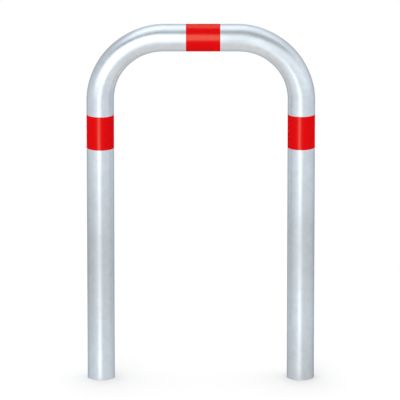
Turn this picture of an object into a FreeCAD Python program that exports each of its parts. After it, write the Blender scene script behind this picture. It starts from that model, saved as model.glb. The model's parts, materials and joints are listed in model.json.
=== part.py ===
"""Guard hoop for a charging point: one bent steel tube with three wrapped bands of reflective film.

Millimetres, +Z up. The origin lies on the ground, midway between the two cut leg ends.
X runs across the hoop and Y runs through its opening, with the front at -Y.
"""
import FreeCAD
import Part
import Sketcher
import math
import os

Vector = FreeCAD.Vector

# Driving dimensions: name, size in millimetres, what it measures
SIZES = [
    ("tube_diameter", 60.0, "outside diameter of the tube"),
    ("wall_thickness", 2.5, "wall of the tube"),
    ("leg_length", 630.0, "straight run from the cut end of a leg up to its bend"),
    ("bend_radius", 140.0, "radius of each bend along the middle of the tube"),
    ("crossbar_length", 160.0, "straight run between the two bends"),
    ("bend_flattening", 2.0, "what the middle of a bend loses of the diameter, in the plane of the hoop"),
    ("end_chamfer", 0.5, "broken edge, inside and outside, of each cut end"),
    ("band_width", 75.0, "width of a strip of reflective film"),
    ("film_thickness", 0.1, "thickness of the film"),
    ("film_lap", 12.0, "stretch where the end of a strip lies over its beginning"),
    ("left_band_gap", 32.0, "bare tube between the left bend and its band"),
    ("right_band_gap", 31.0, "bare tube between the right bend and its band"),
    ("top_band_shift", 5.0, "distance of the top band's middle to the right of the crossbar's middle"),
]
SIZE = {name: value for name, value, _ in SIZES}

# Places worked out from the driving dimensions, as formulas over the sheet
LEG_OFFSET = "(sizes.crossbar_length / 2 + sizes.bend_radius)"
CROSSBAR_HEIGHT = "(sizes.leg_length + sizes.bend_radius)"
HALF_CROSSBAR = "(sizes.crossbar_length / 2)"
BORE_DIAMETER = "(sizes.tube_diameter - 2 * sizes.wall_thickness)"

# A quarter bend: it flattens over its first third, stays oval over the second and grows round over the last
BEND_ANGLE = 90.0
THIRD_ANGLE = BEND_ANGLE / 3

# Point positions on a sketched curve, and a sketch's own axes and origin
START, END, CENTRE = range(1, 4)
HORIZONTAL_AXIS, VERTICAL_AXIS = range(-1, -3, -1)
ORIGIN = (HORIZONTAL_AXIS, START)


def add_sizes(doc):
    """The sheet of driving dimensions."""
    sheet = doc.addObject("Spreadsheet::Sheet", "sizes")
    for row, (name, value, meaning) in enumerate(SIZES, start=1):
        sheet.set(f"A{row}", name)
        sheet.set(f"B{row}", str(value))
        sheet.set(f"C{row}", meaning)
        sheet.setAlias(f"B{row}", name)
    doc.recompute()


def new_body(doc, label):
    body = doc.addObject("PartDesign::Body", label)
    body.Label = label
    return body


def origin_plane(body, role):
    return next(plane for plane in body.Origin.OriginFeatures if plane.Role == role)


def new_sketch(body, name, role):
    """A sketch on one of the body's own origin planes."""
    sketch = body.newObject("Sketcher::SketchObject", name)
    sketch.AttachmentSupport = [(origin_plane(body, role), "")]
    sketch.MapMode = "FlatFace"
    return sketch


def bind_size(sketch, constraint, name, formula):
    """Add a dimension to a sketch and tie it to the sheet."""
    index = sketch.addConstraint(constraint)
    sketch.renameConstraint(index, name)
    sketch.setExpression(f"Constraints.{name}", formula)


def centre_on_origin(sketch, curve):
    sketch.addConstraint(Sketcher.Constraint("Coincident", curve, CENTRE, *ORIGIN))


def section_sketch(body, name, angle):
    """A sketch square to the tube, part-way round the left bend, its own X axis along the hoop's Y."""
    sketch = new_sketch(body, name, "XY_Plane")
    across = FreeCAD.Rotation(Vector(0, 0, 1), 90)
    round_the_bend = FreeCAD.Rotation(Vector(0, 1, 0), angle)
    x_formula = f"-{HALF_CROSSBAR} - sizes.bend_radius * cos({angle} deg)"
    z_formula = f"sizes.leg_length + sizes.bend_radius * sin({angle} deg)"
    sketch.AttachmentOffset = FreeCAD.Placement(Vector(0, 0, 0), round_the_bend * across)
    sketch.setExpression("AttachmentOffset.Base.x", x_formula)
    sketch.setExpression("AttachmentOffset.Base.z", z_formula)
    return sketch


def draw_circle(sketch, name, diameter, formula):
    circle = sketch.addGeometry(Part.Circle(Vector(0, 0, 0), Vector(0, 0, 1), diameter / 2))
    centre_on_origin(sketch, circle)
    bind_size(sketch, Sketcher.Constraint("Diameter", circle, diameter), name, formula)


def draw_oval(sketch, name, diameter, flattening, formula):
    """An ellipse that keeps its diameter across the hoop and loses some of it in the plane of the bend."""
    reduced = diameter - flattening
    across_end = Vector(diameter / 2, 0, 0)
    in_plane_end = Vector(0, reduced / 2, 0)
    oval = sketch.addGeometry(Part.Ellipse(across_end, in_plane_end, Vector(0, 0, 0)))
    sketch.exposeInternalGeometry(oval)
    long_axis, short_axis = oval + 1, oval + 2
    centre_on_origin(sketch, oval)
    sketch.addConstraint(Sketcher.Constraint("Horizontal", long_axis))
    bind_size(
        sketch,
        Sketcher.Constraint("Distance", long_axis, START, long_axis, END, diameter),
        f"{name}_across",
        formula,
    )
    bind_size(
        sketch,
        Sketcher.Constraint("Distance", short_axis, START, short_axis, END, reduced),
        f"{name}_in_plane",
        f"{formula} - sizes.bend_flattening",
    )


def draw_tube_section(sketch, draw, *extra):
    """The outside of the tube and its bore, both drawn by the same function."""
    outside = SIZE["tube_diameter"]
    bore = outside - 2 * SIZE["wall_thickness"]
    draw(sketch, "outside", outside, *extra, "sizes.tube_diameter")
    draw(sketch, "bore", bore, *extra, BORE_DIAMETER)


def bend_line(body):
    """The middle line of the left bend: three arcs in a row, from the crossbar round to the leg."""
    sketch = new_sketch(body, "bend_line", "XZ_Plane")
    centre = Vector(-SIZE["crossbar_length"] / 2, SIZE["leg_length"], 0)
    circle = Part.Circle(centre, Vector(0, 0, 1), SIZE["bend_radius"])
    third = math.radians(THIRD_ANGLE)
    starts = [math.pi / 2 + third * number for number in range(3)]
    arcs = [sketch.addGeometry(Part.ArcOfCircle(circle, start, start + third)) for start in starts]
    first, _, last = arcs
    for arc, following in zip(arcs, arcs[1:]):
        sketch.addConstraint(Sketcher.Constraint("Coincident", arc, CENTRE, following, CENTRE))
        sketch.addConstraint(Sketcher.Constraint("Coincident", arc, END, following, START))
    sketch.addConstraint(Sketcher.Constraint("Vertical", first, CENTRE, first, START))
    sketch.addConstraint(Sketcher.Constraint("Horizontal", last, CENTRE, last, END))
    for arc in (first, last):
        sketch.addConstraint(Sketcher.Constraint("Angle", arc, third))
    bind_size(
        sketch,
        Sketcher.Constraint("DistanceX", first, CENTRE, *ORIGIN, -centre.x),
        "from_middle",
        HALF_CROSSBAR,
    )
    bind_size(
        sketch,
        Sketcher.Constraint("DistanceY", *ORIGIN, first, CENTRE, centre.y),
        "above_ground",
        "sizes.leg_length",
    )
    bind_size(sketch, Sketcher.Constraint("Radius", first, circle.Radius), "radius", "sizes.bend_radius")
    return sketch


def third_of_bend(body, name, line, edge, section, next_section):
    """A length of the bend, swept along its own arc from one section to the next."""
    sweep = body.newObject("PartDesign::AdditivePipe", name)
    sweep.Profile = section
    sweep.Spine = (line, [edge])
    sweep.Transformation = "Multisection"
    sweep.Sections = [next_section]
    return sweep


def cut_end_edges(shape):
    """Names of the round edges, inside and outside, on the two cut ends that stand on the ground."""
    ground = 1e-6
    return [
        f"Edge{number}"
        for number, edge in enumerate(shape.Edges, start=1)
        if all(abs(vertex.Z) < ground for vertex in edge.Vertexes)
    ]


def hoop_tube(doc):
    """One tube: two legs, two bends that are flattened in the middle, and the crossbar."""
    body = new_body(doc, "hoop_tube")
    line = bend_line(body)

    # Four sections of the left bend: round where it meets the leg and the crossbar, oval in between
    bend_start = section_sketch(body, "bend_start", 0)
    oval_start = section_sketch(body, "oval_start", THIRD_ANGLE)
    oval_end = section_sketch(body, "oval_end", 2 * THIRD_ANGLE)
    bend_end = section_sketch(body, "bend_end", BEND_ANGLE)
    for sketch in (bend_start, bend_end):
        draw_tube_section(sketch, draw_circle)
    for sketch in (oval_start, oval_end):
        draw_tube_section(sketch, draw_oval, SIZE["bend_flattening"])
    doc.recompute()

    thirds = [
        third_of_bend(body, "left_bend_flattening", line, "Edge3", bend_start, oval_start),
        third_of_bend(body, "left_bend_oval", line, "Edge2", oval_start, oval_end),
        third_of_bend(body, "left_bend_rounding", line, "Edge1", oval_end, bend_end),
    ]

    leg = body.newObject("PartDesign::Pad", "left_leg")
    leg.Profile = bend_start
    leg.Reversed = True
    leg.setExpression("Length", "sizes.leg_length")

    crossbar = body.newObject("PartDesign::Pad", "left_half_of_crossbar")
    crossbar.Profile = bend_end
    crossbar.setExpression("Length", HALF_CROSSBAR)
    doc.recompute()

    # The right half is the left half mirrored across the middle of the hoop
    whole = body.newObject("PartDesign::Mirrored", "both_halves")
    whole.Originals = [*thirds, leg, crossbar]
    whole.MirrorPlane = (origin_plane(body, "YZ_Plane"), [""])
    body.Tip = whole
    doc.recompute()

    ends = body.newObject("PartDesign::Chamfer", "broken_edges")
    ends.Base = (whole, cut_end_edges(whole.Shape))
    ends.setExpression("Size", "sizes.end_chamfer")
    body.Tip = ends
    return body


def draw_lapped_strip(sketch):
    """A strip wrapped once round the tube: seen along it, a thin ring with a step where its end laps over."""
    tube = SIZE["tube_diameter"] / 2
    single = tube + SIZE["film_thickness"]
    double = single + SIZE["film_thickness"]
    half_lap = math.asin(SIZE["film_lap"] / 2 / double)
    lap_start = math.pi / 2 - half_lap
    lap_end = math.pi / 2 + half_lap
    draw_circle(sketch, "tube", 2 * tube, "sizes.tube_diameter")

    def arc(radius, start, end):
        circle = Part.Circle(Vector(0, 0, 0), Vector(0, 0, 1), radius)
        return sketch.addGeometry(Part.ArcOfCircle(circle, start, end))

    def step(angle):
        outward = Vector(math.cos(angle), math.sin(angle), 0)
        return sketch.addGeometry(Part.LineSegment(outward * single, outward * double))

    lap = arc(double, lap_start, lap_end)
    wrap = arc(single, lap_end, lap_start + 2 * math.pi)
    first_step = step(lap_start)
    last_step = step(lap_end)
    for curve in (lap, wrap):
        centre_on_origin(sketch, curve)
    for edge, wrap_point, lap_point in ((first_step, END, START), (last_step, START, END)):
        sketch.addConstraint(Sketcher.Constraint("Coincident", edge, START, wrap, wrap_point))
        sketch.addConstraint(Sketcher.Constraint("Coincident", edge, END, lap, lap_point))
        sketch.addConstraint(Sketcher.Constraint("PointOnObject", *ORIGIN, edge))
    sketch.addConstraint(Sketcher.Constraint("Symmetric", lap, START, lap, END, VERTICAL_AXIS))
    bind_size(
        sketch,
        Sketcher.Constraint("Radius", wrap, single),
        "single_layer",
        "sizes.tube_diameter / 2 + sizes.film_thickness",
    )
    bind_size(
        sketch,
        Sketcher.Constraint("Radius", lap, double),
        "double_layer",
        "sizes.tube_diameter / 2 + 2 * sizes.film_thickness",
    )
    bind_size(
        sketch,
        Sketcher.Constraint("DistanceX", lap, END, lap, START, SIZE["film_lap"]),
        "lap",
        "sizes.film_lap",
    )


def reflective_band(doc, label, rotation, x_formula, z_formula):
    """A strip of film: in its own frame the tube runs along Z, and the lap is at +Y."""
    body = new_body(doc, label)
    sketch = new_sketch(body, f"{label}_section", "XY_Plane")
    draw_lapped_strip(sketch)
    strip = body.newObject("PartDesign::Pad", f"{label}_strip")
    strip.Profile = sketch
    strip.setExpression("Length", "sizes.band_width")
    body.Placement = FreeCAD.Placement(Vector(0, 0, 0), rotation)
    body.setExpression("Placement.Base.x", x_formula)
    body.setExpression("Placement.Base.z", z_formula)
    return body


def reflective_bands(doc):
    """One band under each bend, lapped at the back, and one round the crossbar, lapped underneath."""
    upright = FreeCAD.Rotation()
    lap_down_along_crossbar = FreeCAD.Rotation(Vector(0, -1, 0), Vector(0, 0, -1), Vector(1, 0, 0), "ZXY")
    below_bend = "sizes.leg_length - sizes.band_width - sizes.{side}_band_gap"
    return [
        reflective_band(
            doc, "left_reflective_band", upright, f"-{LEG_OFFSET}", below_bend.format(side="left")
        ),
        reflective_band(
            doc, "right_reflective_band", upright, LEG_OFFSET, below_bend.format(side="right")
        ),
        reflective_band(
            doc,
            "top_reflective_band",
            lap_down_along_crossbar,
            "sizes.top_band_shift - sizes.band_width / 2",
            CROSSBAR_HEIGHT,
        ),
    ]


def check(doc, parts):
    """Stop before anything is written if a feature failed or a piece isn't one valid solid."""
    for item in doc.Objects:
        if "Invalid" in item.State or "Error" in item.State:
            raise RuntimeError(f"{item.Label} failed: {item.State}")
    for part in parts:
        if part.Shape.isNull() or not part.Shape.isValid() or len(part.Shape.Solids) != 1:
            raise RuntimeError(f"{part.Label} isn't one valid solid")


def main():
    doc = FreeCAD.newDocument("guard_hoop")
    add_sizes(doc)
    parts = [hoop_tube(doc), *reflective_bands(doc)]
    doc.recompute()
    check(doc, parts)
    os.makedirs("parts", exist_ok=True)
    for part in parts:
        part.Shape.exportStep(f"parts/{part.Label}.step")
        print(f"{part.Label}: {part.Shape.Volume / 1000:.2f} cm3")


main()
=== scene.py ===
"""Guard hoop for a charging point: a bent galvanised tube with three strips of red reflective film."""
import json
import math

import bpy
import numpy as np
from bpy.props import FloatProperty, FloatVectorProperty, IntProperty, PointerProperty
from bpy.types import Operator, Panel, PropertyGroup
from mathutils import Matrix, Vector


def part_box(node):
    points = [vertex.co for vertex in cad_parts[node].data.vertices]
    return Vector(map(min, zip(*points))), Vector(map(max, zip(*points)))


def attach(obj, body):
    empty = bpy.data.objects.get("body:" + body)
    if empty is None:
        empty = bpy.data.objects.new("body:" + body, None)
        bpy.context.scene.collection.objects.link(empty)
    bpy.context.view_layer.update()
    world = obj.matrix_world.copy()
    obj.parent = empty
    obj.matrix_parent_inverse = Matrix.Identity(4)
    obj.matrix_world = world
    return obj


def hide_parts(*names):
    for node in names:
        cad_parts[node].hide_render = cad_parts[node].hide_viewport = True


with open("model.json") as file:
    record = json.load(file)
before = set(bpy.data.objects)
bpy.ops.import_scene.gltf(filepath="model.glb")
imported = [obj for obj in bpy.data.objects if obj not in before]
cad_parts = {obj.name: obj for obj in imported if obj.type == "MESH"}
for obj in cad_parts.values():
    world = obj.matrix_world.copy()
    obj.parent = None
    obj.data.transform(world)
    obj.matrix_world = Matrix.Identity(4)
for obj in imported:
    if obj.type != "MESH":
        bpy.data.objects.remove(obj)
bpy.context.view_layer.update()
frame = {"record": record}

bl_info = {
    "name": "Charging Point Guard Hoop",
    "version": (1, 0, 0),
    "blender": (4, 5, 0),
    "location": "3D View > Sidebar > Guard Hoop",
    "description": "Builds a galvanised guard hoop with its reflective bands, and a plain studio for it",
    "category": "Add Mesh",
}

# Names of the body, the nodes that are replaced, the pieces and their slots.
BODY = "root"
HOOP_NODE = "hoop_tube"
LEFT_NODE, RIGHT_NODE, TOP_NODE = "left_reflective_band", "right_reflective_band", "top_reflective_band"
HOOP = "galvanised_hoop"
LEFT_BAND, RIGHT_BAND, TOP_BAND = "left_film_band", "right_film_band", "top_film_band"

MM = 0.001
QUARTER_TURN, FULL_TURN = math.pi / 2, 2 * math.pi
X_AXIS, Z_AXIS = 0, 2
FRONT = Vector((0, -1, 0))
WHITE = (1.0, 1.0, 1.0, 1.0)

# Angles round the tube, from the outside of the hoop by its front.
UPPER_FRONT, INSIDE_OF_HOOP, BACK_OF_HOOP = math.radians(72), math.pi, 1.5 * math.pi

# Divisions of the meshes, and the angle from which an edge is sharp.
LEG_ROWS, BAR_ROWS, EDGE_POINTS, WELD_POINTS = 25, 6, 5, 9
CLIMB_POINTS, LAP_POINTS = 7, 11
FLOOR_RINGS, FLOOR_SPOKES = 6, 96
SHARP_ANGLE = math.radians(50)

# Decimals that lengths and angles are rounded to.
LENGTH_DIGITS, ANGLE_DIGITS = 4, 6

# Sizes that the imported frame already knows.
LEG_MOUNT = next(mount for mount in frame["record"]["mounts"] if mount["name"] == "right_leg")
TUBE_DIAMETER = 2 * LEG_MOUNT["dims"]["r_mm"] * MM
LEG_SPACING = 2 * LEG_MOUNT["pos_m"][0]
EDGE_ROUNDING = 0.5 * MM
LEG_LENGTH = LEG_MOUNT["dims"]["length_mm"] * MM + EDGE_ROUNDING
HOOP_HEIGHT = round(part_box(HOOP_NODE)[1].z, LENGTH_DIGITS)
BEND_RADIUS = HOOP_HEIGHT - TUBE_DIAMETER / 2 - LEG_LENGTH


def band_span(node, axis):
    """Where a film strip starts and ends along the tube that carries it."""
    low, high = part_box(node)
    return low[axis], high[axis]


LEFT_SPAN = band_span(LEFT_NODE, Z_AXIS)
RIGHT_SPAN = band_span(RIGHT_NODE, Z_AXIS)
TOP_SPAN = band_span(TOP_NODE, X_AXIS)

# How high the spots on the legs are, as shares of a leg: there painted shade darkens the zinc and scuffing
# makes it rougher.
LEFT_SPOT, RIGHT_SPOT = 0.44, 0.47
# Share of their painted shade that the inner sides have.
INNER_SHADE_SHARE = 0.5
# Where the painted shade and the scuffing of the upper front side fade in, as shares of the tube's
# diameter.
FRONT_FADE = (0.42, 0.475)

# How far the roughness of a finish wanders, and how a pattern is drawn out along the tube.
ZINC_SWING, FILM_SWING = 0.02, 0.04
ZINC_LINE_STRETCH, FILM_STREAK_STRETCH = (1.0, 1.0, 0.012), (1.0, 1.0, 0.1)
SPANGLE_WANDER = (12 * MM, 12 * MM, 12 * MM)
FILM_FACE_INDEX = 2.5

# The floor lies a little under the cut ends, and fades between two shares of its radius.
FLOOR_DROP = 0.1 * MM
FLOOR_FADE = (0.35, 0.85)

# Directions in degrees: the height that a leg's front mirrors, and how far aside its streak comes from.
LEG_LEVEL, STREAK_ASIDE = -15.0, -9.0
CEILING_EDGE, FLOOR_EDGE = (3.0, 28.0), (-18.0, -42.0)
# The front light gets brighter from the first height to the second, from the one share to the other.
FRONT_LIFT = (-12.0, 6.0, 1.0, 1.15)
# Edges of the soft lights: what is measured, where the light is nothing and where it is full.
# Two more numbers are other shares than nothing and full.
BEHIND_LIGHT = (("over", 105.0, 125.0), ("height", 3.0, 12.0), ("off_middle", 0.6, 0.3))
SIDE_HEIGHTS = (("height", -5.0, 15.0), ("height", 72.0, 50.0))
RIGHT_LIGHT = (("aside", 65.0, 95.0), ("aside", 165.0, 130.0), *SIDE_HEIGHTS)
LEFT_LIGHT = (("to_left", 65.0, 95.0), ("to_left", 165.0, 130.0), *SIDE_HEIGHTS)
OVERHEAD_LIGHT = (("height", 38.0, 60.0), ("over", 52.0, 98.0), ("across", 0.35, -0.15, 0.6, 1.0))
FRONT_LIGHT = (
    ("aside", -92.0, -45.0),
    ("aside", 120.0, 45.0),
    ("height", 40.0, 24.0),
    ("height", -48.0, -6.0),
    ("off_leg_level", 5.0, 13.0, 0.1, 1.0),
)
PANEL_LIGHT = (
    ("aside", -66.0, -36.0),
    ("aside", 18.0, -8.0),
    ("over", 49.0, 43.0),
    ("height", -42.0, -4.0),
    ("off_leg_level", 5.0, 13.0),
)
STREAK_LIGHT = (("off_leg_level", 13.0, 5.0), ("off_streak", 22.0, 0.0))

# The lamps that make the glints: their distance in metres, and their width in degrees from the hoop.
GLINT_AWAY, GLINT_WIDTH = 6.0, 16.0


def length_property(name, description, default):
    return FloatProperty(name=name, description=description, default=default, min=0, precision=5,
                         subtype="DISTANCE", unit="LENGTH")


def colour_property(name, description, default):
    return FloatVectorProperty(name=name, description=description, default=default, size=3, min=0, max=1,
                               subtype="COLOR")


def share_property(name, description, default):
    return FloatProperty(name=name, description=description, default=default, min=0, max=1,
                         subtype="FACTOR")


def light_property(name, description, default):
    return FloatProperty(name=name, description=description, default=default, min=0)


def count_property(name, description, default, least):
    return IntProperty(name=name, description=description, default=default, min=least)


class HoopTubeSizes(PropertyGroup):
    """Sizes of the bent tube."""
    tube_diameter: length_property("Tube diameter", "Outside diameter of the tube", TUBE_DIAMETER)
    wall: length_property("Wall", "Thickness of the tube's wall", 2.5 * MM)
    leg_spacing: length_property("Leg spacing", "Between the middles of the legs", LEG_SPACING)
    leg_length: length_property("Leg length", "Straight length from the cut end to the bend", LEG_LENGTH)
    bend_radius: length_property("Bend radius", "Radius of a bend at the tube's middle line", BEND_RADIUS)
    flattening: length_property("Flattening", "How much a bend narrows the tube in its plane", 2 * MM)
    edge_rounding: length_property("Edge rounding", "Rounding of the cut ends' edges", EDGE_ROUNDING)
    weld_height: length_property("Weld height", "Height of the weld bead inside the tube", 0.7 * MM)
    weld_width: length_property("Weld width", "Width of the weld bead inside the tube", 2.4 * MM)
    points_round: count_property("Points round", "Mesh points round the tube", 96, least=12)
    rows_per_bend: count_property("Rows per bend", "Mesh rows along one bend", 48, least=6)


class FilmBandSizes(PropertyGroup):
    """Sizes of the film strips."""
    film: length_property("Film", "Thickness of the film", 0.098 * MM)
    glue: length_property("Glue", "Thickness of the glue under the lapped end", 0.004 * MM)
    lap: length_property("Lap", "Length of strip that lies over its own start", 12 * MM)
    climb: length_property("Climb", "Length over which the strip rises onto its own start", 2.5 * MM)
    points_round: count_property("Points round", "Mesh points round a strip", 144, least=12)
    points_across: count_property("Points across", "Mesh points across a strip", 9, least=2)


class HoopFinishes(PropertyGroup):
    """Colours and gloss of the zinc and the film."""
    zinc_light: colour_property("Light zinc", "Colour of the zinc's brighter patches", (0.57, 0.622, 0.672))
    zinc_dark: colour_property("Dark zinc", "Colour of the zinc's duller patches", (0.485, 0.541, 0.597))
    zinc_edge: colour_property("Zinc edge", "Tint of zinc seen at a slant", (0.5, 0.52, 0.55))
    # Painted shade: the zinc's colour is multiplied by this over some lengths, where the light on it should
    # be weaker.
    zinc_shade_tint: colour_property("Dulled zinc", "What dull zinc keeps of its colour", (0.825, 0.812, 0.785))
    zinc_roughness: share_property("Zinc roughness", "How matt the zinc is", 0.3)
    scuffed_roughness: share_property("Scuffed roughness", "How much more matt scuffed zinc is", 0.08)
    film_red: colour_property("Film red", "Colour of the film", (0.575, 0.0008, 0.002))
    film_deep_red: colour_property("Film deep red", "Colour of its duller patches", (0.52, 0.0005, 0.0015))
    film_roughness: share_property("Film roughness", "How matt the film is", 0.27)
    film_gloss: share_property("Film gloss", "Strength of the film's clear face", 0.0175)


class StudioSettings(PropertyGroup):
    """The floor, the light and the camera."""
    floor_radius: length_property("Floor radius", "Radius of the floor", 1.2)
    floor_colour: colour_property("Floor colour", "Colour of the floor", (0.84, 0.84, 0.84))
    backdrop: light_property("Backdrop", "Brightness of the white backdrop", 1.0)
    ceiling: light_property("Ceiling", "Brightness between the soft lights", 0.5)
    bounce: light_property("Bounce", "Brightness that comes up off the floor", 1.15)
    bounce_tint: colour_property("Bounce tint", "Tint of what comes up off the floor", (1.0, 0.94, 0.885))
    behind: light_property("Behind", "Brightness of the light behind", 1.3)
    overhead: light_property("Overhead", "Brightness of the overhead light", 1.9)
    right_side: light_property("Right side", "Brightness of the light at the right", 1.15)
    left_side: light_property("Left side", "Brightness of the light at the left", 0.92)
    front: light_property("Front", "Brightness of the broad front light", 1.4)
    panel: light_property("Panel", "Brightness of the panel in front", 2.2)
    streak: light_property("Streak", "Brightness of the light along the legs", 2.4)
    glint: light_property("Glint", "Brightness of the glint on the film's front", 42.0)
    top_glint: light_property("Top glint", "Brightness of the glint on the film's top", 18.5)
    glint_tint: colour_property("Glint tint", "Colour of the glints", (1.0, 0.95, 0.6))
    lens: FloatProperty(name="Lens", description="Focal length of the camera", default=573.9, min=1,
                        subtype="DISTANCE_CAMERA", unit="CAMERA")
    distance: length_property("Distance", "From the camera to the hoop", 14.0)
    elevation: FloatProperty(name="Elevation", description="Angle of the camera above level",
                             default=math.radians(14.87), subtype="ANGLE", unit="ROTATION")
    aim: FloatVectorProperty(name="Aim", description="Point that the camera looks at", size=3,
                             default=(-1.76 * MM, 0, 403.65 * MM), subtype="XYZ", unit="LENGTH")


class GuardHoopSettings(PropertyGroup):
    """All that a user of the guard hoop would change."""
    tube: PointerProperty(type=HoopTubeSizes, name="Tube", description="Sizes of the bent tube")
    bands: PointerProperty(type=FilmBandSizes, name="Bands", description="Sizes of the film strips")
    finishes: PointerProperty(type=HoopFinishes, name="Finishes", description="Colours and gloss")
    studio: PointerProperty(type=StudioSettings, name="Studio", description="Floor, light and camera")


# Shapes of the pieces.

def smooth_step(value):
    value = min(max(value, 0.0), 1.0)
    return value * value * (3 - 2 * value)


def half_length(tube):
    """From a cut end to the middle of the crossbar, along the tube's middle line."""
    return tube.leg_length + QUARTER_TURN * tube.bend_radius + tube.leg_spacing / 2 - tube.bend_radius


def place_on_tube(tube, along):
    """The tube's middle, outward side and share of flattening, at a length from the left cut end."""
    half = half_length(tube)
    from_end = min(along, 2 * half - along)
    bend_centre = Vector((tube.leg_spacing / 2 - tube.bend_radius, 0, tube.leg_length))
    turn = min(max((from_end - tube.leg_length) / tube.bend_radius, 0.0), QUARTER_TURN)
    outward = Vector((math.cos(turn), 0, math.sin(turn)))
    middle = bend_centre + tube.bend_radius * outward
    third = QUARTER_TURN / 3
    flat = smooth_step(turn / third) * smooth_step((QUARTER_TURN - turn) / third)
    if turn == 0:
        middle.z = from_end
    elif turn == QUARTER_TURN:
        middle.x = half - from_end
    if along < half:
        middle.x, outward.x = -middle.x, -outward.x
    return middle, outward, flat


def surface_point(tube, along, angle, radius):
    """A point round the tube. The angle starts at the outside of the hoop and goes by the front."""
    middle, outward, flat = place_on_tube(tube, along)
    in_plane = radius - flat * tube.flattening / 2
    return middle + in_plane * math.cos(angle) * outward + radius * math.sin(angle) * FRONT


def tube_profile(tube):
    """Rows of points, over the outside and back inside: their length, radius and whether in the bore."""
    outer, bore, edge = tube.tube_diameter / 2, tube.tube_diameter / 2 - tube.wall, tube.edge_rounding
    half = half_length(tube)
    end_of_bend = tube.leg_length + QUARTER_TURN * tube.bend_radius
    leg = np.linspace(edge, tube.leg_length, LEG_ROWS)
    bend = np.linspace(tube.leg_length, end_of_bend, tube.rows_per_bend + 1)[1:]
    bar = np.linspace(end_of_bend, half, BAR_ROWS)[1:]
    left_half = np.concatenate([leg, bend, bar])
    walk = np.concatenate([left_half, 2 * half - left_half[-2::-1]]).tolist()
    quarter = np.linspace(0, QUARTER_TURN, EDGE_POINTS).tolist()
    cut_end = [(edge * math.sin(turn), outer - edge + edge * math.cos(turn)) for turn in quarter]
    cut_end += [(edge * math.cos(turn), bore + edge - edge * math.sin(turn)) for turn in quarter]
    outside = [(along, outer, False) for along in walk]
    right_end = [(2 * half - edge + out, radius, False) for out, radius in cut_end[1:-1]]
    inside = [(along, bore, True) for along in walk[::-1]]
    left_end = [(edge - out, radius, False) for out, radius in cut_end[-2:0:-1]]
    return outside + right_end + inside + left_end


def ring_faces(rings, points, closed):
    """Faces between rings of points. Where closed, the last ring joins the first."""
    faces = []
    for ring in range(rings if closed else rings - 1):
        here, there = ring * points, (ring + 1) % rings * points
        for point in range(points):
            beside = (point + 1) % points
            faces.append((here + point, here + beside, there + beside, there + point))
    return faces


def new_piece(name, points, faces, tube_space, material):
    """Makes a smooth-shaded mesh object whose points also know their place on the tube."""
    mesh = bpy.data.meshes.new(name)
    mesh.from_pydata(points, [], faces)
    marks = mesh.attributes.new("tube_space", "FLOAT_VECTOR", "POINT")
    marks.data.foreach_set("vector", np.ravel(tube_space))
    mesh.validate()
    mesh.shade_smooth()
    mesh.set_sharp_from_angle(angle=SHARP_ANGLE)
    mesh.materials.append(material)
    piece = bpy.data.objects.new(name, mesh)
    bpy.context.scene.collection.objects.link(piece)
    return piece


def build_hoop_tube(tube, material):
    """The tube with its bore, its rounded cut ends and the weld bead along the back of the bore."""
    weld_turn = tube.weld_width / tube.tube_diameter
    angles = np.linspace(0, FULL_TURN, tube.points_round, endpoint=False)
    weld_angles = BACK_OF_HOOP + weld_turn * np.linspace(-1, 1, WELD_POINTS)
    angles = np.unique(np.round(np.concatenate([angles, weld_angles]), ANGLE_DIGITS)).tolist()
    points, marks = [], []
    profile = tube_profile(tube)
    for along, radius, in_bore in profile:
        for angle in angles:
            here = radius
            if in_bore:
                off_weld = abs(angle - BACK_OF_HOOP) / weld_turn
                here = radius - tube.weld_height * smooth_step(1 - off_weld)
            points.append(surface_point(tube, along, angle, here))
            marks.append((here * math.cos(angle), here * math.sin(angle), along))
    faces = ring_faces(len(profile), len(angles), closed=True)
    return new_piece(HOOP, points, faces, marks, material)


def build_film_band(name, tube, bands, span, lap_side, material):
    """A strip of film wrapped once round the tube, its end lying over its start."""
    start, end = span
    radius = tube.tube_diameter / 2
    lap_turn, climb_turn = bands.lap / radius, bands.climb / radius
    first = lap_side - lap_turn / 2
    climb_start = FULL_TURN - climb_turn
    wrap = np.linspace(0, climb_start, bands.points_round)
    climb = np.linspace(climb_start, FULL_TURN, CLIMB_POINTS)[1:]
    overlap = np.linspace(FULL_TURN, FULL_TURN + lap_turn, LAP_POINTS)[1:]
    turns = np.concatenate([wrap, climb, overlap]).tolist()
    across = np.linspace(start, end, bands.points_across).tolist()
    section = [(along, 0.0) for along in across] + [(along, bands.film) for along in across[::-1]]
    points, marks = [], []
    for turn in turns:
        lift = (bands.film + bands.glue) * smooth_step((turn - climb_start) / climb_turn)
        for along, height in section:
            points.append(surface_point(tube, along, first + turn, radius + lift + height))
            marks.append((radius * math.cos(first + turn), radius * math.sin(first + turn), along))
    loop = len(section)
    faces = ring_faces(len(turns), loop, closed=False)
    last = (len(turns) - 1) * loop
    for column in range(bands.points_across - 1):
        above = loop - 1 - column
        faces.append((column, above, above - 1, column + 1))
        faces.append((last + column, last + column + 1, last + above - 1, last + above))
    return new_piece(name, points, faces, marks, material)


# Finishes of the pieces.

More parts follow.
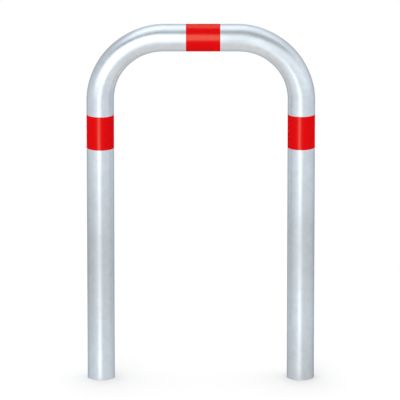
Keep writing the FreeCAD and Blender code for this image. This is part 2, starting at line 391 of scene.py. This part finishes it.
class NodeBoard:
    """Puts nodes on a material's or the world's tree, and joins them."""
    MIX_SHARE, MIX_FIRST, MIX_SECOND, MIX_COLOUR = 0, 6, 7, 2

    def __init__(self, owner):
        owner.use_nodes = True
        self.tree = owner.node_tree
        self.tree.nodes.clear()

    def add(self, kind, inputs, **settings):
        node = self.tree.nodes.new(kind)
        for name, value in settings.items():
            setattr(node, name, value)
        for socket, value in inputs.items():
            if isinstance(value, bpy.types.NodeSocket):
                self.tree.links.new(value, node.inputs[socket])
            else:
                node.inputs[socket].default_value = value
        return node

    def math(self, operation, *values):
        return self.add("ShaderNodeMath", dict(enumerate(values)), operation=operation).outputs[0]

    def vectors(self, operation, *values, output="Vector"):
        node = self.add("ShaderNodeVectorMath", dict(enumerate(values)), operation=operation)
        return node.outputs[output]

    def parts(self, vector):
        return self.add("ShaderNodeSeparateXYZ", {"Vector": vector}).outputs

    def ramp(self, value, start, end, low=0.0, high=1.0):
        """Goes smoothly from low to high as the value goes from start to end."""
        inputs = {"Value": value, "From Min": start, "From Max": end, "To Min": low, "To Max": high}
        return self.add("ShaderNodeMapRange", inputs, interpolation_type="SMOOTHSTEP").outputs[0]

    def noise(self, vector, scale, detail=3.0, roughness=0.5, output="Fac"):
        inputs = {"Vector": vector, "Scale": scale, "Detail": detail, "Roughness": roughness}
        return self.add("ShaderNodeTexNoise", inputs).outputs[output]

    def cells(self, vector, scale, output):
        inputs = {"Vector": vector, "Scale": scale}
        return self.add("ShaderNodeTexVoronoi", inputs, feature="F1").outputs[output]

    def bump(self, relief, strength, distance):
        inputs = {"Height": relief, "Strength": strength, "Distance": distance}
        return self.add("ShaderNodeBump", inputs).outputs["Normal"]

    def blend(self, share, first, second, way="MIX"):
        inputs = {self.MIX_SHARE: share, self.MIX_FIRST: first, self.MIX_SECOND: second}
        node = self.add("ShaderNodeMix", inputs, data_type="RGBA", blend_type=way)
        return node.outputs[self.MIX_COLOUR]

    def weighted(self, *terms):
        """A middle tone of a half, moved by each texture's swing times its weight."""
        total = 0.5
        for texture, weight in terms:
            swing = self.math("MULTIPLY_ADD", texture, weight, -0.5 * weight)
            total = self.math("ADD", total, swing)
        return total

    def around(self, middle, swing, tone):
        """A value that a tone moves by up to its swing to both sides."""
        return self.ramp(tone, 0.0, 1.0, middle - swing, middle + swing)

    def product(self, first, *others):
        for other in others:
            first = self.math("MULTIPLY", first, other)
        return first

    def cover(self, under, mask, level):
        """A light of its own level, laid over what is there."""
        return self.math("MULTIPLY_ADD", mask, self.math("SUBTRACT", level, under), under)

    def tube_space(self):
        return self.add("ShaderNodeAttribute", {}, attribute_name="tube_space").outputs["Vector"]

    def surface(self, shader):
        self.add("ShaderNodeOutputMaterial", {"Surface": shader})


def opaque(colour):
    return (*colour, 1.0)


def lengths_of_tube(board, along, lengths):
    """Adds up some lengths of the tube, each with its middle, its reach both ways and its strength."""
    total = 0.0
    for middle, reach, strength in lengths:
        off = board.math("ABSOLUTE", board.math("SUBTRACT", along, middle))
        total = board.math("ADD", total, board.ramp(off, reach, 0.0, 0.0, strength))
    return total


def zinc_spangle(board, place):
    """Crystals of zinc with wandering borders, each of one tone."""
    wander = board.noise(place, scale=60.0, detail=2.0, output="Color")
    warped = board.vectors("ADD", place, board.vectors("MULTIPLY", wander, SPANGLE_WANDER))
    crystals = board.cells(warped, scale=95.0, output="Color")
    return board.add("ShaderNodeSeparateColor", {"Color": crystals}).outputs["Red"]


def zinc_shade_and_scuffs(board, place, tube):
    """Painted shade that darkens the zinc, and how scuffed it is: on the legs, at the right end and on the
    crossbar's front.
    """
    outside, _, along = board.parts(place)
    middle = half_length(tube)
    end = 2 * middle
    left_spot, right_spot = LEFT_SPOT * tube.leg_length, end - RIGHT_SPOT * tube.leg_length
    # Painted shade: darker lengths round the spots on the legs and at the right end.
    painted_shade = lengths_of_tube(board, along, (
        (left_spot, 250 * MM, 1.0),
        (right_spot, 200 * MM, 0.9),
        (end, 170 * MM, 0.9),
    ))
    scuffed = lengths_of_tube(board, along, (
        (left_spot, 250 * MM, 0.7),
        (right_spot, 170 * MM, 1.0),
        (end, 170 * MM, 0.8),
    ))
    # Painted shade: a darker upper front on the right part of the crossbar, where its highlight should be
    # dimmer.
    painted_front_shade = lengths_of_tube(board, along, (
        (middle + 75 * MM, 60 * MM, 0.75),
        (middle + 170 * MM, 140 * MM, 0.5),
    ))
    scuffed_front = lengths_of_tube(board, along, ((middle + 110 * MM, 150 * MM, 1.0),))
    off_inside = board.ramp(outside, -tube.tube_diameter / 2, 0.0, INNER_SHADE_SHARE, 1.0)
    painted_shade = board.math("MULTIPLY", painted_shade, off_inside)
    upper_front = (math.cos(UPPER_FRONT), math.sin(UPPER_FRONT), 0.0)
    towards = board.vectors("DOT_PRODUCT", place, upper_front, output="Value")
    facing = board.ramp(towards, *(share * tube.tube_diameter for share in FRONT_FADE))
    painted_shade = board.math("MULTIPLY_ADD", facing, painted_front_shade, painted_shade)
    scuffed = board.math("MULTIPLY_ADD", facing, scuffed_front, scuffed)
    return painted_shade, scuffed


def zinc_material(finishes, tube):
    """Hot-dip zinc: faintly clouded and spangled, with fine lines along the tube, scuffed lengths, and
    painted shade on some lengths.
    """
    material = bpy.data.materials.new("galvanised_zinc")
    board = NodeBoard(material)
    place = board.tube_space()
    clouds = board.noise(place, scale=16.0, detail=4.0, roughness=0.55)
    spangle = zinc_spangle(board, place)
    lines = board.noise(board.vectors("MULTIPLY", place, ZINC_LINE_STRETCH), scale=420.0, roughness=0.6)
    grain = board.noise(place, scale=1900.0, detail=2.0)
    painted_shade, scuffed = zinc_shade_and_scuffs(board, place, tube)
    tone = board.weighted((clouds, 0.9), (spangle, 0.45), (lines, 0.8), (grain, 0.15))
    colour = board.blend(tone, opaque(finishes.zinc_dark), opaque(finishes.zinc_light))
    # Painted shade: darker colour over some lengths of the legs and the crossbar's front.
    colour = board.blend(painted_shade, colour, opaque(finishes.zinc_shade_tint), "MULTIPLY")
    matt = board.weighted((clouds, -0.5), (spangle, 0.3), (lines, 0.3), (grain, 0.2))
    roughness = board.around(finishes.zinc_roughness, ZINC_SWING, matt)
    roughness = board.math("MULTIPLY_ADD", scuffed, finishes.scuffed_roughness, roughness)
    relief = board.weighted((clouds, 0.2), (spangle, 0.02), (lines, 0.4), (grain, 0.03))
    shader = board.add("ShaderNodeBsdfPrincipled", {
        "Base Color": colour,
        "Metallic": 1.0,
        "Roughness": roughness,
        "Normal": board.bump(relief, strength=0.25, distance=0.25 * MM),
        "Specular Tint": opaque(finishes.zinc_edge),
    })
    board.surface(shader.outputs[0])
    return material


def film_material(finishes):
    """Red film over fine glass beads, under a smooth clear face."""
    material = bpy.data.materials.new("reflective_film")
    board = NodeBoard(material)
    place = board.tube_space()
    clouds = board.noise(place, scale=30.0)
    beads = board.cells(place, scale=1800.0, output="Distance")
    streaks = board.noise(board.vectors("MULTIPLY", place, FILM_STREAK_STRETCH), scale=300.0, detail=2.0)
    tone = board.weighted((clouds, 0.8), (beads, 0.4), (streaks, 0.5))
    matt = board.weighted((clouds, 0.7), (beads, 0.3))
    relief = board.weighted((clouds, 0.4), (beads, 0.12), (streaks, 0.2))
    shader = board.add("ShaderNodeBsdfPrincipled", {
        "Base Color": board.blend(tone, opaque(finishes.film_deep_red), opaque(finishes.film_red)),
        "Roughness": board.around(finishes.film_roughness, FILM_SWING, matt),
        "Normal": board.bump(relief, strength=0.15, distance=0.15 * MM),
        "Specular IOR Level": 0.0,
        "Coat Weight": finishes.film_gloss,
        "Coat Roughness": finishes.film_roughness,
        "Coat IOR": FILM_FACE_INDEX,
    })
    board.surface(shader.outputs[0])
    return material


def floor_material(studio):
    """Pale matt floor that thins out to nothing well away from the hoop."""
    material = bpy.data.materials.new("pale_floor")
    board = NodeBoard(material)
    place = board.add("ShaderNodeNewGeometry", {}).outputs["Position"]
    far = board.vectors("LENGTH", place, output="Value")
    fade = board.ramp(far, *(share * studio.floor_radius for share in FLOOR_FADE))
    matt = board.add("ShaderNodeBsdfDiffuse", {"Color": opaque(studio.floor_colour)}).outputs[0]
    clear = board.add("ShaderNodeBsdfTransparent", {}).outputs[0]
    board.surface(board.add("ShaderNodeMixShader", {0: fade, 1: matt, 2: clear}).outputs[0])
    return material


# The studio round the hoop.

def light_measures(board):
    """What the lights' edges are measured by, in degrees. Only across and off_middle are shares of one."""
    looking = board.add("ShaderNodeTexCoord", {}).outputs["Generated"]
    across, away, upward = board.parts(looking)
    forward = board.math("MULTIPLY", away, -1.0)
    height = board.math("DEGREES", board.math("ARCSINE", upward))
    aside = board.math("DEGREES", board.math("ARCTAN2", across, forward))
    return {
        "across": across,
        "off_middle": board.math("ABSOLUTE", across),
        "height": height,
        "over": board.math("DEGREES", board.math("ARCTAN2", upward, forward)),
        "aside": aside,
        "to_left": board.math("MULTIPLY", aside, -1.0),
        "off_leg_level": board.math("ABSOLUTE", board.math("SUBTRACT", height, LEG_LEVEL)),
        "off_streak": board.math("ABSOLUTE", board.math("SUBTRACT", aside, STREAK_ASIDE)),
    }


def light_studio(studio):
    """White backdrop, dim ceiling and warm floor, with soft lights laid over them one after the other."""
    world = bpy.data.worlds.new("studio_light")
    board = NodeBoard(world)
    measures = light_measures(board)
    height = measures["height"]
    light = board.ramp(height, *CEILING_EDGE, studio.backdrop, studio.ceiling)
    off_floor = board.ramp(height, *FLOOR_EDGE)
    light = board.cover(light, off_floor, studio.bounce)
    soft_lights = (
        (BEHIND_LIGHT, studio.behind),
        (RIGHT_LIGHT, studio.right_side),
        (LEFT_LIGHT, studio.left_side),
        (OVERHEAD_LIGHT, studio.overhead),
        (FRONT_LIGHT, board.math("MULTIPLY", board.ramp(height, *FRONT_LIFT), studio.front)),
        (PANEL_LIGHT, studio.panel),
        (STREAK_LIGHT, studio.streak),
    )
    for edges, level in soft_lights:
        mask = board.product(*[board.ramp(measures[measure], *fade) for measure, *fade in edges])
        light = board.cover(light, mask, level)
    tint = board.blend(off_floor, WHITE, opaque(studio.bounce_tint))
    shine = board.add("ShaderNodeBackground", {"Color": tint, "Strength": light}).outputs[0]
    board.add("ShaderNodeOutputWorld", {"Surface": shine})
    bpy.context.scene.world = world


def glint_span(degrees):
    """Length that a lamp needs, at its distance, to fill an angle."""
    return 2 * GLINT_AWAY * math.tan(math.radians(degrees) / 2)


def add_glint(studio, name, bands, level, aside, low, high):
    """A tall lamp, set by degrees, whose mirror image is the glint on some bands. It lights only them."""
    turned, raised = math.radians(aside), math.radians((low + high) / 2)
    reach = math.cos(raised)
    towards = Vector((math.sin(turned) * reach, -math.cos(turned) * reach, math.sin(raised)))
    width, tall = glint_span(GLINT_WIDTH), glint_span(high - low)
    lamp = bpy.data.lights.new(name, "AREA")
    lamp.shape, lamp.size, lamp.size_y = "RECTANGLE", width, tall
    lamp.energy = level * math.pi * width * tall
    lamp.color = studio.glint_tint
    holder = bpy.data.objects.new(name, lamp)
    holder.location = Vector((0, 0, HOOP_HEIGHT - TUBE_DIAMETER / 2)) + GLINT_AWAY * towards
    holder.rotation_euler = towards.to_track_quat("Z", "Y").to_euler()
    holder.visible_camera = holder.visible_diffuse = False
    lit = bpy.data.collections.new(name)
    for band in bands:
        lit.objects.link(bpy.data.objects[band])
    holder.light_linking.receiver_collection = lit
    bpy.context.scene.collection.objects.link(holder)


def build_floor(studio):
    """A round floor just under the cut ends, in rings so that its fade has points to follow."""
    points = [(0, 0, -FLOOR_DROP)]
    for ring in range(1, FLOOR_RINGS + 1):
        radius = studio.floor_radius * ring / FLOOR_RINGS
        for spoke in range(FLOOR_SPOKES):
            turn = FULL_TURN * spoke / FLOOR_SPOKES
            points.append((radius * math.cos(turn), radius * math.sin(turn), -FLOOR_DROP))
    faces = [(0, 1 + spoke, 1 + (spoke + 1) % FLOOR_SPOKES) for spoke in range(FLOOR_SPOKES)]
    for ring in range(FLOOR_RINGS - 1):
        first = 1 + ring * FLOOR_SPOKES
        for spoke in range(FLOOR_SPOKES):
            near, beside = first + spoke, first + (spoke + 1) % FLOOR_SPOKES
            faces.append((near, near + FLOOR_SPOKES, beside + FLOOR_SPOKES, beside))
    mesh = bpy.data.meshes.new("studio_floor")
    mesh.from_pydata(points, [], faces)
    mesh.materials.append(floor_material(studio))
    floor = bpy.data.objects.new("studio_floor", mesh)
    bpy.context.scene.collection.objects.link(floor)
    floor.visible_glossy = False
    return floor


def place_camera(studio):
    """A long lens that looks down a little at the hoop from the front."""
    away = Vector((0, -math.cos(studio.elevation), math.sin(studio.elevation)))
    camera = bpy.data.objects.new("studio_camera", bpy.data.cameras.new("studio_camera"))
    camera.data.lens = studio.lens
    camera.location = Vector(studio.aim) + studio.distance * away
    camera.rotation_euler = away.to_track_quat("Z", "Y").to_euler()
    bpy.context.scene.collection.objects.link(camera)
    bpy.context.scene.camera = camera


# What a user can run, and the panel that lists it.

class GUARD_HOOP_OT_hoop_tube(Operator):
    """Build the bent galvanised tube"""
    bl_idname = "guard_hoop.hoop_tube"
    bl_label = "Hoop Tube"

    def execute(self, context):
        settings = context.scene.guard_hoop
        hoop = build_hoop_tube(settings.tube, zinc_material(settings.finishes, settings.tube))
        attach(hoop, BODY)
        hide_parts(HOOP_NODE)
        return {"FINISHED"}


class GUARD_HOOP_OT_reflective_bands(Operator):
    """Wrap the three strips of red reflective film round the tube"""
    bl_idname = "guard_hoop.reflective_bands"
    bl_label = "Reflective Bands"

    def execute(self, context):
        settings = context.scene.guard_hoop
        tube = settings.tube
        middle = half_length(tube)
        end = 2 * middle
        film = film_material(settings.finishes)
        strips = (
            (LEFT_BAND, LEFT_NODE, LEFT_SPAN, BACK_OF_HOOP),
            (RIGHT_BAND, RIGHT_NODE, (end - RIGHT_SPAN[1], end - RIGHT_SPAN[0]), BACK_OF_HOOP),
            (TOP_BAND, TOP_NODE, (middle + TOP_SPAN[0], middle + TOP_SPAN[1]), INSIDE_OF_HOOP),
        )
        for name, node, span, lap_side in strips:
            band = build_film_band(name, tube, settings.bands, span, lap_side, film)
            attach(band, BODY)
            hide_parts(node)
        return {"FINISHED"}


class GUARD_HOOP_OT_stage(Operator):
    """Set up the plain floor, the soft studio light and the camera"""
    bl_idname = "guard_hoop.stage"
    bl_label = "Studio"

    def execute(self, context):
        studio = context.scene.guard_hoop.studio
        context.scene.view_settings.view_transform = "Standard"
        build_floor(studio)
        light_studio(studio)
        legs, bar = (LEFT_BAND, RIGHT_BAND), (TOP_BAND,)
        add_glint(studio, "leg_glint", legs, studio.glint, aside=-13.5, low=-40.0, high=10.0)
        add_glint(studio, "bar_glint", bar, studio.glint, aside=0.0, low=-11.0, high=36.5)
        add_glint(studio, "top_glint", bar, studio.top_glint, aside=0.0, low=99.0, high=148.0)
        place_camera(studio)
        return {"FINISHED"}


class VIEW3D_PT_guard_hoop(Panel):
    """Lists the guard hoop's pieces with their settings"""
    bl_idname = "VIEW3D_PT_guard_hoop"
    bl_label = "Guard Hoop"
    bl_space_type = "VIEW_3D"
    bl_region_type = "UI"
    bl_category = "Guard Hoop"

    def draw(self, context):
        settings = context.scene.guard_hoop
        sections = (
            (GUARD_HOOP_OT_hoop_tube, (settings.tube,)),
            (GUARD_HOOP_OT_reflective_bands, (settings.bands, settings.finishes)),
            (GUARD_HOOP_OT_stage, (settings.studio,)),
        )
        for operator, groups in sections:
            box = self.layout.box()
            for group in groups:
                for name in group.__annotations__:
                    box.prop(group, name)
            box.operator(operator.bl_idname)


CLASSES = (
    HoopTubeSizes,
    FilmBandSizes,
    HoopFinishes,
    StudioSettings,
    GuardHoopSettings,
    GUARD_HOOP_OT_hoop_tube,
    GUARD_HOOP_OT_reflective_bands,
    GUARD_HOOP_OT_stage,
    VIEW3D_PT_guard_hoop,
)


def register():
    for item in CLASSES:
        bpy.utils.register_class(item)
    bpy.types.Scene.guard_hoop = PointerProperty(type=GuardHoopSettings)


def unregister():
    del bpy.types.Scene.guard_hoop
    for item in reversed(CLASSES):
        bpy.utils.unregister_class(item)


def main():
    register()
    bpy.ops.guard_hoop.hoop_tube()
    bpy.ops.guard_hoop.reflective_bands()
    bpy.ops.guard_hoop.stage()


if __name__ == "__main__":
    main()
